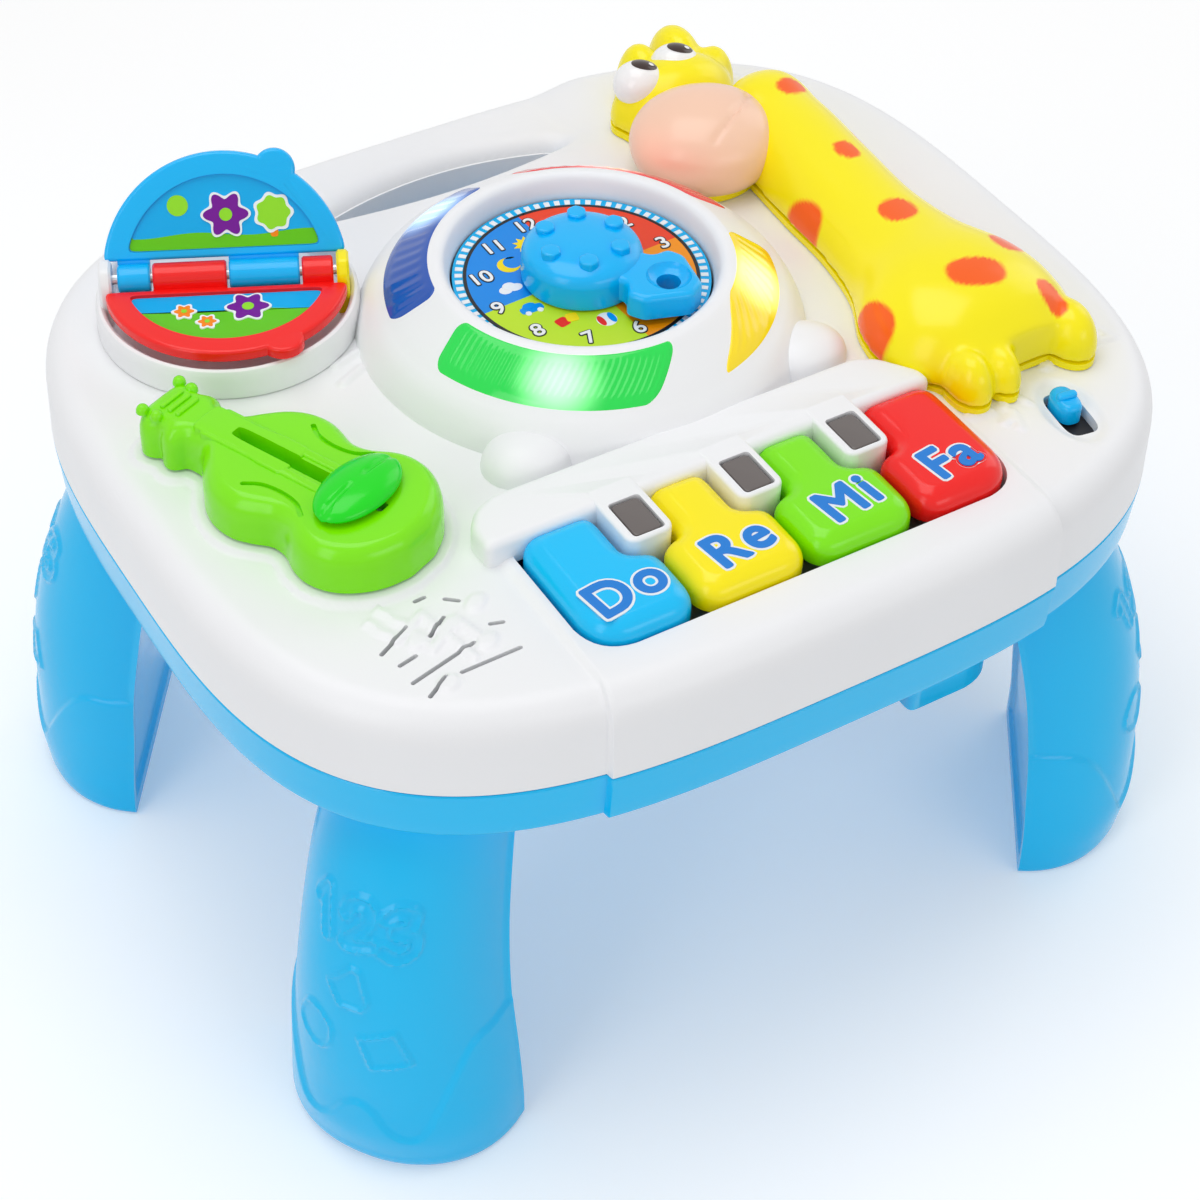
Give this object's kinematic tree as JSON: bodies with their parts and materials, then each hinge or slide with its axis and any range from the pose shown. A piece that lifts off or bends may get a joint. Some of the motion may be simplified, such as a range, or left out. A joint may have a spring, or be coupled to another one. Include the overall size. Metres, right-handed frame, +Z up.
{
  "type": "musical activity table",
  "caption": "Low baby activity table: rounded white top on a blue base and plug-in legs, with a turning clock knob, hinged keys, flip pages, a guitar slider and a lift-off handset.",
  "frame": {"origin": "on the floor, below the middle of the table's outline", "axes": "+Z up, +X to the right as seen from the front where the keys are, +Y to the back"},
  "size_m": [0.3198, 0.2608, 0.2192],
  "materials": {
    "white_shell": "white moulded plastic, satin",
    "sky_blue": "sky blue moulded plastic",
    "azure": "bright blue gloss plastic",
    "red": "red gloss plastic",
    "yellow": "yellow gloss plastic",
    "lime": "lime green gloss plastic",
    "green": "green gloss plastic",
    "peach": "peach gloss plastic",
    "dial_print": "printed dial, four coloured quarters",
    "lens_blue": "clear blue plastic, ribbed",
    "lens_green": "clear green plastic, ribbed",
    "lens_yellow": "clear yellow plastic, ribbed",
    "lens_red": "clear red plastic, ribbed",
    "smoke": "smoked clear plastic",
    "light": "clear lamp body",
    "board": "circuit board",
    "steel": "plain steel",
    "black": "black plastic",
    "grey_rubber": "grey silicone rubber",
    "cell_jacket": "steel cell with a printed jacket"
  },
  "bodies": {
    "table": {"top_shell": "white_shell", "base_shell": "sky_blue", "leg_front_left": "sky_blue", "leg_front_right": "sky_blue", "leg_back_left": "sky_blue", "leg_back_right": "sky_blue", "clock_housing": "white_shell", "ring_board": "board", "lens_blue": "lens_blue", "lens_green": "lens_green", "lens_yellow": "lens_yellow", "lens_red": "lens_red", "light_blue": "light", "light_green": "light", "light_yellow": "light", "light_red": "light", "clock_dial": "dial_print", "guitar_body": "lime", "book_tray": "white_shell", "book_end_post": "yellow", "book_axle": "steel", "key_window_1": "smoke", "key_window_2": "smoke", "key_window_3": "smoke", "key_pivot_rod": "steel", "key_board": "board", "key_contact_mat": "grey_rubber", "slide_switch": "black", "speaker": "black", "main_board": "board", "cell_1": "cell_jacket", "cell_2": "cell_jacket", "contact_plate_front": "steel", "contact_plate_back": "steel", "battery_door": "sky_blue", "battery_door_screw": "steel", "case_screw_1": "steel", "case_screw_2": "steel", "case_screw_3": "steel", "case_screw_4": "steel"},
    "knob": {"clock_knob": "azure", "knob_contact_wheel": "black", "knob_screw": "steel"},
    "slider": {"guitar_slider": "green", "slider_carriage": "white_shell"},
    "blue_page": {"page_blue": "azure"},
    "red_page": {"page_red": "red"},
    "blue_key": {"key_blue": "azure"},
    "yellow_key": {"key_yellow": "yellow"},
    "green_key": {"key_green": "lime"},
    "red_key": {"key_red": "red"},
    "switch": {"switch_knob": "azure"},
    "handset": {"giraffe_shell": "yellow", "giraffe_muzzle": "peach", "giraffe_cover": "yellow"}
  },
  "joints": [
    {"name": "clock_knob_turn", "type": "hinge", "parent": "table", "child": "knob", "pos_m": [0, 0.0115, 0.195], "axis": [0, 0, 1], "continuous": true},
    {"name": "guitar_slider_slide", "type": "slide", "parent": "table", "child": "slider", "axis": [-0.4067, 0.9135, 0], "range_m": [0, 0.035]},
    {"name": "blue_page_flip", "type": "hinge", "parent": "table", "child": "blue_page", "pos_m": [-0.0882, 0.063, 0.189], "axis": [0.9078, -0.4195, 0], "range_deg": [-58, 28]},
    {"name": "red_page_flip", "type": "hinge", "parent": "table", "child": "red_page", "pos_m": [-0.0882, 0.063, 0.189], "axis": [0.9078, -0.4195, 0], "range_deg": [-86, 0]},
    {"name": "blue_key_press", "type": "hinge", "parent": "table", "child": "blue_key", "pos_m": [0, -0.0579, 0.1678], "axis": [1, 0, 0], "range_deg": [0, 3.5], "stiffness_Nm_per_rad": 0.25, "springref_deg": -8.59},
    {"name": "yellow_key_press", "type": "hinge", "parent": "table", "child": "yellow_key", "pos_m": [0, -0.0579, 0.1678], "axis": [1, 0, 0], "range_deg": [0, 3.5], "stiffness_Nm_per_rad": 0.25, "springref_deg": -8.59},
    {"name": "green_key_press", "type": "hinge", "parent": "table", "child": "green_key", "pos_m": [0, -0.0579, 0.1678], "axis": [1, 0, 0], "range_deg": [0, 3.5], "stiffness_Nm_per_rad": 0.25, "springref_deg": -8.59},
    {"name": "red_key_press", "type": "hinge", "parent": "table", "child": "red_key", "pos_m": [0, -0.0579, 0.1678], "axis": [1, 0, 0], "range_deg": [0, 3.5], "stiffness_Nm_per_rad": 0.25, "springref_deg": -8.59},
    {"name": "power_switch_slide", "type": "slide", "parent": "table", "child": "switch", "axis": [-0.1392, -0.9903, 0], "range_m": [0, 0.0065]},
    {"name": "handset_lift", "type": "slide", "parent": "table", "child": "handset", "axis": [0, 0, 1], "range_m": [0, 0.06]}
  ]
}
